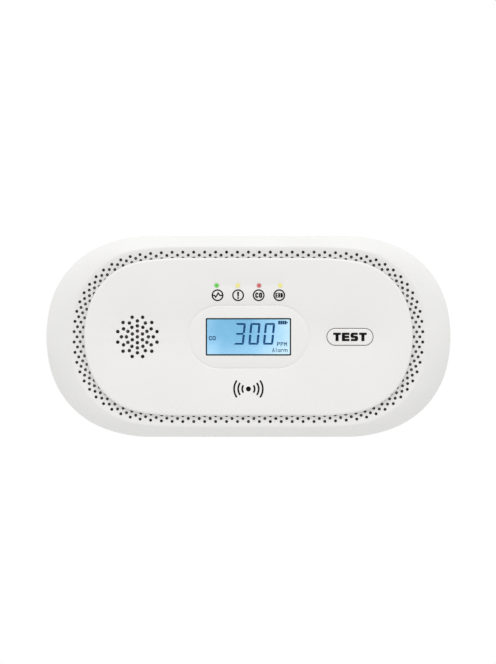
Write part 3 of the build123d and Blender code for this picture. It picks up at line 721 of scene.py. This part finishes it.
# The display surround from its outer edge inwards: (share of its width, depth below the fascia).
DISH_SECTION = (
    (0.05, 0.02), (0.12, 0.07), (0.26, 0.18), (0.36, 0.235), (0.45, CHANNEL_DEPTH),
    (0.54, 0.24), (0.7, 0.17), (0.86, 0.085), (0.95, 0.05), (1.0, DISH_DEPTH),
)


def front_panel():
    """Raised fascia: rounded rim, sunk display surround, and holes for the button, lights and sounder."""
    skin = Skin()
    rim = 0.75
    foot = skin.loop(oval_loop(PANEL_OVAL, 0.0, FLOOR_TOP))
    rings = [foot]
    for turn in quarter_turns(7):
        rings.append(oval_loop(PANEL_OVAL, rim * (1 - cos(turn)), PANEL_FRONT - rim + rim * sin(turn)))
    rings.append(oval_loop(PANEL_OVAL, rim + 0.25, PANEL_FRONT))
    top_edge = skin.stack(rings)
    places = [(*middle(node)[:2], TIP_HOLE) for node in LAMPS]
    places.append((SOUNDER_X, 0.0, GRILLE_RADIUS))
    for radius, count, start in GRILLE_RINGS:
        for index in range(count):
            turn = radians(start + 360.0 * index / count)
            places.append((SOUNDER_X + radius * cos(turn), radius * sin(turn), GRILLE_RADIUS))
    tops, lows = zip(*(round_hole(skin, *place) for place in places), button_hole(skin))
    dish = [pill_loop(DISH_OUTER, PANEL_FRONT)]
    for inset, drop in DISH_SECTION:
        size = [outer + (inner - outer) * inset for outer, inner in zip(DISH_OUTER, DISH_INNER)]
        dish.append(pill_loop(size, PANEL_FRONT - drop))
    dish_top = skin.loop(dish[0])
    dish_floor = skin.stack([dish_top, *dish[1:]])
    skin.fill(top_edge, [dish_top, *tops])
    floor_height = PANEL_FRONT - DISH_DEPTH
    bevel = 0.12
    window_rim = rounded_loop(resized(WINDOW, 2 * bevel), WINDOW_CORNER + bevel, floor_height)
    window_top = skin.loop(window_rim)
    skin.fill(dish_floor, [window_top])
    window_low = skin.stack([
        window_top,
        rounded_loop(WINDOW, WINDOW_CORNER, floor_height - bevel),
        rounded_loop(WINDOW, WINDOW_CORNER, DISH_BACK),
    ])
    boss_low = skin.loop(pill_loop(DISH_OUTER, DISH_BACK))
    skin.fill(boss_low, [window_low])
    boss_top = skin.loop(pill_loop(DISH_OUTER, FLOOR_TOP))
    skin.bridge(boss_low, boss_top)
    skin.fill(foot, [boss_top, *lows])
    piece = make_piece("fascia", skin, "case", FASCIA_WHITE, 32.0)
    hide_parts("front_panel")


# -------- button
def test_button():
    """Button cap with a rounded edge, its retaining flange and its stem."""
    skin = Skin()
    edge = 0.4
    top = BUTTON_HIGH[2] - FILM
    flange_top = FLOOR_TOP - 0.1
    flange_low = flange_top - 1.2
    sections = [(resized(BUTTON, -2 * edge - 0.3), top)]
    for turn in quarter_turns(6):
        sections.append((resized(BUTTON, -2 * edge * (1 - sin(turn))), top - edge * (1 - cos(turn))))
    sections += [(BUTTON, flange_top), (FLANGE, flange_top), (FLANGE, flange_low)]
    crown, *rings = [pill_loop(size, height, BUTTON_X) for size, height in sections]
    crown = skin.loop(crown)
    skin.fill(crown)
    underside = skin.stack([crown, *rings])
    stem_radius = 2.0
    stem = [circle_loop(BUTTON_X, 0.0, stem_radius, height, 32) for height in (flange_low, BUTTON_LOW[2])]
    stem_root = skin.loop(stem[0])
    skin.fill(underside, [stem_root])
    skin.fill(skin.stack([stem_root, stem[1]]))
    piece = make_piece("button_cap", skin, "test_button", FASCIA_WHITE, 35.0)
    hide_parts("test_button")


# -------- printing and display marks
def ribbon(skin, route, width, layer, closed=False):
    """A flat stroke of constant width along a route, as a thin closed solid."""
    half = width / 2
    count = len(route)
    left, right = [], []
    for index, (x, y) in enumerate(route):
        before = route[index - 1] if index or closed else None
        after = route[(index + 1) % count] if index + 1 < count or closed else None
        turns = []
        for start, end in ((before, (x, y)), ((x, y), after)):
            if start and end:
                turns.append(atan2(end[1] - start[1], end[0] - start[0]))
        mean = atan2(sum(sin(turn) for turn in turns), sum(cos(turn) for turn in turns))
        bend = (turns[-1] - turns[0] + pi) % (2 * pi) - pi
        stretch = half / max(cos(bend / 2), 0.35)
        left.append((x - stretch * sin(mean), y + stretch * cos(mean)))
        right.append((x + stretch * sin(mean), y - stretch * cos(mean)))
    corners = []
    for height in layer:
        corners.append([skin.loop([(x, y, height) for x, y in side]) for side in (left, right)])
    (left_low, right_low), (left_high, right_high) = corners
    sides = (left_low, right_low, right_high, left_high)
    for index in range(count if closed else count - 1):
        follow = (index + 1) % count
        for first, second in zip(sides, sides[1:] + sides[:1]):
            skin.faces.append((first[index], first[follow], second[follow], second[index]))
    if not closed:
        for end in (0, -1):
            skin.faces.append(tuple(side[end] for side in sides))


def patch(skin, outline, layer):
    """A flat patch with this outline, as a thin closed solid."""
    bottom, top = [skin.loop([(x, y, height) for x, y in outline]) for height in layer]
    skin.bridge(bottom, top)
    skin.fill(bottom)
    skin.fill(top)


def rectangle(x, y, width, height):
    """The corners of a rectangle, from its lower left one."""
    return (x, y), (x + width, y), (x + width, y + height), (x, y + height)


def arc(x, y, radius_x, radius_y, start, end, steps):
    """Points along an ellipse from one angle to another, in degrees anticlockwise from +x."""
    turns = [radians(start + (end - start) * step / steps) for step in range(steps + 1)]
    return [(x + radius_x * cos(turn), y + radius_y * sin(turn)) for turn in turns]


def softened(corners, steps=5):
    """An outline of (x, y, radius) corners, each rounded off over that distance."""
    outline = []
    for index, (x, y, radius) in enumerate(corners):
        sides = []
        for other_x, other_y, _ in (corners[index - 1], corners[(index + 1) % len(corners)]):
            length = hypot(other_x - x, other_y - y)
            share = min(radius / length, 0.48)
            sides.append((x + (other_x - x) * share, y + (other_y - y) * share))
        (start_x, start_y), (end_x, end_y) = sides
        for step in range(steps + 1):
            along = step / steps
            near, bend, far = (1 - along) ** 2, 2 * along * (1 - along), along ** 2
            point_x = near * start_x + bend * x + far * end_x
            outline.append((point_x, near * start_y + bend * y + far * end_y))
    return outline


# The width of a heavy letter's level strokes, as a share of that of its upright ones.
BAR_SHARE = 0.73
# A lettering style is (letter width, letter height, stroke width, gap between letters).
BUTTON_STYLE = (2.44, 2.72, 1.0, 0.33)
GAS_SYMBOL_STYLE = (1.05, 1.76, 0.46, 0.14)
END_SYMBOL_STYLE = (0.75, 1.52, 0.4, 0.095)
GAS_STYLE = (1.06, 1.42, 0.29, 0.11)
UNIT_STYLE = (0.95, 1.3, 0.24, 0.17)
STATE_STYLE = (0.9, 1.35, 0.2, 0.16)
LETTER_WIDTHS = {"m": 1.45, "l": 0.6, "r": 0.75}
# A layer is (bottom, top); this is the print's on the fascia.
PRINT = (PANEL_FRONT - 0.01, PANEL_FRONT + FILM)


def glyph(letter, width, height, weight):
    """Strokes or patches of one plain letter in a box from (0, 0) to (width, height)."""
    half = weight / 2
    left, right, low, high = half, width - half, half, height - half
    centre_x, centre_y = width / 2, height / 2
    round_x, round_y = (right - left) / 2, (high - low) / 4
    if letter == "T":
        bar = height - weight * BAR_SHARE
        return [("patch", [
            (0, height), (width, height), (width, bar), (centre_x + half, bar), (centre_x + half, 0),
            (centre_x - half, 0), (centre_x - half, bar), (0, bar),
        ])]
    if letter == "E":
        arm, bar = width * 0.95, weight * BAR_SHARE
        upper, lower = centre_y + bar / 2, centre_y - bar / 2
        return [("patch", [
            (0, 0), (width, 0), (width, bar), (weight, bar), (weight, lower), (arm, lower), (arm, upper),
            (weight, upper), (weight, height - bar), (width, height - bar), (width, height), (0, height),
        ])]
    if letter == "S":
        bar = weight * BAR_SHARE
        upper, lower, tip, tail = centre_y + bar / 2, centre_y - bar / 2, width * 0.95, width * 0.05
        outer, inner, end = 0.75, 0.14, 0.1
        right, high = width - weight, height - bar
        return [("patch", softened((
            (tail, 0, end), (width, 0, outer), (width, upper, outer), (weight, upper, inner),
            (weight, high, inner), (tip, high, end), (tip, height, end), (0, height, outer),
            (0, lower, outer), (right, lower, inner), (right, bar, inner), (tail, bar, end),
        )))]
    if letter in "CO":
        bend = width * 0.38
        box = softened(((right, high, bend), (left, high, bend), (left, low, bend), (right, low, bend)))
        return [("line" if letter == "C" else "ring", box)]
    if letter == "D":
        bowl = arc(left + round_x * 0.6, centre_y, round_x * 1.4, 2 * round_y, 90, -90, 12)
        return [("ring", [(left, low), (left, high), *bowl])]
    if letter == "N":
        return [("line", [(left, 0), (left, high), (right, low), (right, height)])]
    if letter == "P":
        bowl = arc(right - round_y, high - round_y, round_y, round_y, 90, -90, 8)
        return [("line", [(left, 0), (left, high), *bowl, (weight, centre_y)])]
    if letter == "M":
        return [("line", [(left, 0), (left, high), (centre_x, centre_y), (right, high), (right, 0)])]
    if letter == "A":
        bar = height * 0.34
        legs = [(left, 0), (centre_x, high), (right, 0)]
        return [("line", legs), ("line", [(width * 0.25, bar), (width * 0.75, bar)])]
    small = height * 0.7
    if letter == "l":
        return [("line", [(left, high), (centre_x, high), (centre_x, 0)])]
    if letter == "a":
        bowl = arc(centre_x, small / 2, round_x, small / 2 - half, 0, 340, 16)
        return [("ring", bowl), ("line", [(right, small), (right, 0)])]
    if letter == "r":
        return [("line", [(left, 0), (left, small - half), (right, small - half), (right, small * 0.6)])]
    if letter == "m":
        peaks = [(left, 0), (left, small - half), (right, small - half), (right, 0)]
        return [("line", peaks), ("line", [(centre_x, small - half), (centre_x, 0)])]
    raise ValueError(letter)


def write(skin, words, x, y, style, layer):
    """Plain letters from their lower left corner; a letter's second stroke lies a little lower."""
    usual_width, height, weight, gap = style
    low, high = layer
    drop = (high - low) * 0.25
    for letter in words:
        width = usual_width * LETTER_WIDTHS.get(letter, 1.0)
        for index, (form, route) in enumerate(glyph(letter, width, height, weight)):
            placed = [(x + px, y + py) for px, py in route]
            stroke_layer = (low, high - index * drop)
            if form == "patch":
                patch(skin, placed, stroke_layer)
            else:
                ribbon(skin, placed, weight, stroke_layer, form == "ring")
        x += width + gap


def button_lettering():
    """The word on the test button, in plain heavy capitals."""
    skin = Skin()
    width, height, _, gap = BUTTON_STYLE
    left = BUTTON_X - (4 * width + 3 * gap) / 2
    top = BUTTON_HIGH[2]
    write(skin, "TEST", left, -height / 2, BUTTON_STYLE, (top - 1.4 * FILM, top))
    make_piece("button_word", skin, "test_button", INK_FILM)


def status_symbols():
    """A ringed symbol under each light: pulse, warning, gas and end of life."""
    skin = Skin()
    ring_radius, ring_line, pulse_line, dot_radius = 1.69, 0.43, 0.42, 0.31
    pitch, shift, y = 6.6, -0.02, 13.37
    pulse_x, warning_x, gas_x, end_x = [pitch * (index - 1.5) + shift for index in range(4)]
    for x in (pulse_x, warning_x, gas_x, end_x):
        ribbon(skin, arc(x, y, ring_radius, ring_radius, 0, 350, 35), ring_line, PRINT, True)
    beat = (
        (-1.6, -0.05), (-0.95, -0.05), (-0.6, -0.6), (-0.15, 0.05),
        (0.2, 0.75), (0.75, -0.05), (1.6, -0.05),
    )
    under_ring = (PRINT[0], PRINT[1] - 0.005)
    ribbon(skin, [(pulse_x + px, y + py) for px, py in beat], pulse_line, under_ring)
    wedge = ((-0.34, 1.1), (0.34, 1.1), (0.22, -0.42), (-0.22, -0.42))
    patch(skin, [(warning_x + px, y + py) for px, py in wedge], PRINT)
    patch(skin, arc(warning_x, y - 0.86, dot_radius, dot_radius, 0, 330, 11), PRINT)
    write(skin, "CO", gas_x - 1.1, y - 0.88, GAS_SYMBOL_STYLE, PRINT)
    write(skin, "END", end_x - 1.22, y - 0.76, END_SYMBOL_STYLE, PRINT)
    make_piece("status_symbols", skin, "case", INK_FILM)


def plain_mark():
    """A neutral mark under the display: a dot with three pairs of arcs, as for an alarm sounding."""
    skin = Skin()
    y, dot_radius, line, half_angle = -16.7, 0.8, 0.56, 36
    patch(skin, arc(0.0, y, dot_radius, dot_radius, 0, 348, 29), PRINT)
    for radius in (2.0, 3.3, 4.6):
        for side in (0, 180):
            route = arc(0.0, y, radius, radius, side - half_angle, side + half_angle, 18)
            ribbon(skin, route, line, PRINT)
    make_piece("plain_mark", skin, "case", INK_FILM)


SEGMENTS_ON = {"3": "abcdg", "0": "abcdef"}


def digit(skin, figure, x, y, width, height, slant, layer):
    """A slanted seven-segment figure from its lower left corner."""
    bar, post, gap = 0.6, 0.72, 0.19
    middle_y = height / 2
    corner = 0.3
    marks = []
    for centre, inward in ((height - bar / 2, -1), (bar / 2, 1)):
        outer_y, inner_y = centre - inward * bar / 2, centre + inward * bar / 2
        marks.append(("a" if inward < 0 else "d", [
            (corner, outer_y), (width - corner, outer_y), (width - 0.08, outer_y + inward * corner * 0.6),
            (width - post * 0.9, inner_y), (post * 0.9, inner_y), (0.08, outer_y + inward * corner * 0.6),
        ]))
    bar_start, bar_end = post * 0.55, width - post * 0.55
    bar_high, bar_low = middle_y + bar / 2, middle_y - bar / 2
    marks.append(("g", [
        (bar_start, middle_y), (post, bar_high), (bar_end - 0.3, bar_high),
        (bar_end, middle_y), (bar_end - 0.3, bar_low), (post, bar_low),
    ]))
    for names, outer_x, inward in (("fe", 0.0, 1), ("bc", width, -1)):
        inner_x = outer_x + inward * post
        for name, start, end in ((names[0], middle_y + gap, height), (names[1], middle_y - gap, 0.0)):
            rise = 1 if end > start else -1
            end_outer, end_inner = end - rise * (corner * 0.6 + 0.1), end - rise * (bar + 0.06)
            marks.append((name, [
                (outer_x, start + rise * 0.12), (outer_x, end_outer), (inner_x, end_inner),
                (inner_x, start + rise * 0.2), (outer_x + inward * post * 0.45, start),
            ]))
    for name, outline in marks:
        if name in SEGMENTS_ON[figure]:
            patch(skin, [(x + px + slant * py, y + py) for px, py in outline], layer)


def display_border():
    """Black print round the edge of the window, which runs down its sides to the mask behind it."""
    skin = Skin()
    lens_low, lens_high = reach("display_lens")
    bottom, top = lens_low[2] - 0.05, lens_high[2] + 0.02
    inner_size, inner_corner = (26.58, 11.18), 0.2
    rings = []
    for size, corner in ((resized(WINDOW, -0.03), WINDOW_CORNER), (inner_size, inner_corner)):
        for out in (bottom, top):
            rings.append(skin.loop(rounded_loop(size, corner, out)))
    outer_low, outer_top, inner_low, inner_top = rings
    skin.bridge(outer_low, outer_top)
    skin.bridge(inner_low, inner_top)
    skin.fill(outer_low, [inner_low])
    skin.fill(outer_top, [inner_top])
    make_piece("display_border", skin, "case", INK_FILM)


def display_marks():
    """Everything the display shows: the reading, its unit, the gas, a cell and the state."""
    skin = Skin()
    low = reach("lcd_glass")[1][2] + 0.01
    layer = (low, low + 0.03)
    height, width, slant, pitch = 6.95, 3.3, 0.1, 4.7
    base_y = -2.55
    for index, figure in enumerate("300"):
        digit(skin, figure, -4.77 + pitch * index, base_y, width, height, slant, layer)
    write(skin, "CO", -12.72, -1.15, GAS_STYLE, layer)
    write(skin, "PPM", 9.2, -3.0, UNIT_STYLE, layer)
    write(skin, "Alarm", 7.6, -4.95, STATE_STYLE, layer)
    cell_x, cell_y, cell_height, bar_width, bar_pitch, nose = 9.55, 3.98, 1.15, 0.62, 0.69, 0.3
    for bar in range(4):
        patch(skin, rectangle(cell_x + bar * bar_pitch, cell_y, bar_width, cell_height), layer)
    patch(skin, rectangle(cell_x + 4 * bar_pitch, cell_y + nose, nose, cell_height - 2 * nose), layer)
    make_piece("display_marks", skin, "case", SEGMENTS)


# -------- lights
def tip_material(name, colour, x, y):
    """Lit end of the light guide: deep colour on its axis that pales towards its edge."""
    shader = Shader(name, roughness=0.35, specular=0.2)
    tip = (x * MM, -PANEL_FRONT * MM, y * MM)
    away = shader.node("ShaderNodeVectorMath", {1: tip}, operation="DISTANCE")
    shader.link(shader.place, away.inputs[0])
    fall_off = shader.spread(away.outputs["Value"], 0.0, 1.0, 0.00018, 0.0009)
    cloud = shader.math("ADD", fall_off, shader.spread(shader.noise(0.0004, 2.0), -0.06, 0.06))
    halo = tuple(0.45 * channel + 0.5 for channel in colour)
    shader.emit(shader.ramp(cloud, ((0.0, colour), (0.4, colour), (0.95, halo))), 0.6)
    shader.colour(shader.ramp(cloud, ((0.0, tinted(colour, 0.4)), (0.95, tinted(halo, 0.4)))))
    shader.bump(cloud, 0.000003)
    return shader.material


def light_tips():
    """The lit ends of the light guide, each a small dome in its hole."""
    radius, rise, base, shoulder = 0.73, 0.2, PANEL_FRONT - 0.35, PANEL_FRONT - 0.05
    sections = [(radius, base), (radius, shoulder)]
    for turn in quarter_turns(8, 1)[:-1]:
        sections.append((radius * cos(turn), shoulder + rise * sin(turn)))
    for node, colour in LAMPS.items():
        skin = Skin()
        x, y, _ = middle(node)
        rings = [circle_loop(x, y, size, height, 24) for size, height in sections]
        start = skin.loop(rings[0])
        skin.fill(start)
        skin.fill(skin.stack([start, *rings[1:]]))
        material = tip_material(node + "_tip", colour, x, y)
        make_piece(node + "_tip", skin, "case", material, 60.0)


# -------- battery springs
def battery_springs():
    """Three tapered coil springs, each a wire helix between its contact plate and its cell."""
    low, high = reach("battery_springs")
    depth = (low[2] + high[2]) / 2
    length, pitch, wire, root_radius, taper = 3.3, 14.6, 0.3, 3.0, 0.7
    turns, steps, around = 3.6, 100, 8
    skin = Skin()
    for index in range(3):
        side, root_x = (1, high[0]) if index % 2 else (-1, low[0])
        y = pitch * (index - 1)
        rings = []
        for step in range(steps + 1):
            share = step / steps
            turn = 2 * pi * turns * share
            coil = root_radius - taper * share
            x = root_x - side * (wire + (length - 2 * wire) * share)
            ring = []
            for corner in range(around):
                angle = 2 * pi * corner / around
                radial = coil + wire * cos(angle)
                ring.append((x + wire * sin(angle), y + radial * cos(turn), depth + radial * sin(turn)))
            rings.append(ring)
        start = skin.loop(rings[0])
        end = skin.stack([start, *rings[1:]])
        skin.faces += [tuple(start), tuple(end)]
    piece = make_piece("coil_springs", skin, "case", STEEL, 50.0)
    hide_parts("battery_springs")


# -------- stage, light, camera
def floor():
    """Plain pale floor well below the part."""
    mesh = bpy.data.meshes.new("floor")
    half, level = 6.0, -0.4
    corners = [(x, y, level) for x, y in rectangle(-half, -half, 2 * half, 2 * half)]
    mesh.from_pydata(corners, [], [(0, 1, 2, 3)])
    shader = Shader("floor_paint", roughness=0.9)
    shader.colour(shader.ramp(shader.noise(0.4), ((0.3, (0.80, 0.80, 0.80)), (0.7, (0.82, 0.82, 0.82)))))
    mesh.materials.append(shader.material)
    new_object("floor", mesh)


def aimed(name, data, place, target):
    """A light or a camera at one place that looks at another."""
    made = new_object(name, data)
    made.location = place
    made.rotation_euler = (target - place).to_track_quat("-Z", "Y").to_euler()
    return made


def studio():
    """Even white surroundings and one large soft light from above and in front."""
    scene = bpy.context.scene
    scene.view_settings.view_transform = "Standard"
    world = bpy.data.worlds.new("studio")
    world.use_nodes = True
    white = {"Color": (1.0, 1.0, 1.0, 1.0), "Strength": 1.0}
    set_values(world.node_tree.nodes["Background"], white)
    scene.world = world
    light = bpy.data.lights.new("key", "AREA")
    light.shape = "SQUARE"
    light.size = 0.9
    light.energy = 3.3
    aimed("key", light, Vector((0.0, -0.55, 1.2)), Vector())


def camera():
    """Long lens, square on to the front and a little above it."""
    distance, elevation = 4.0, radians(0.7)
    frame_height = 0.2137
    aim = Vector((-0.00014, -0.024, 0.00145))
    data = bpy.data.cameras.new("camera")
    data.sensor_width = 36.0
    data.lens = data.sensor_width * distance / frame_height
    place = aim + Vector((0.0, -distance * cos(elevation), distance * sin(elevation)))
    bpy.context.scene.camera = aimed("camera", data, place, aim)


camera()
studio()
floor()
front_shell()
front_panel()
test_button()
button_lettering()
status_symbols()
plain_mark()
display_border()
display_marks()
light_tips()
battery_springs()

bpy.context.view_layer.update()
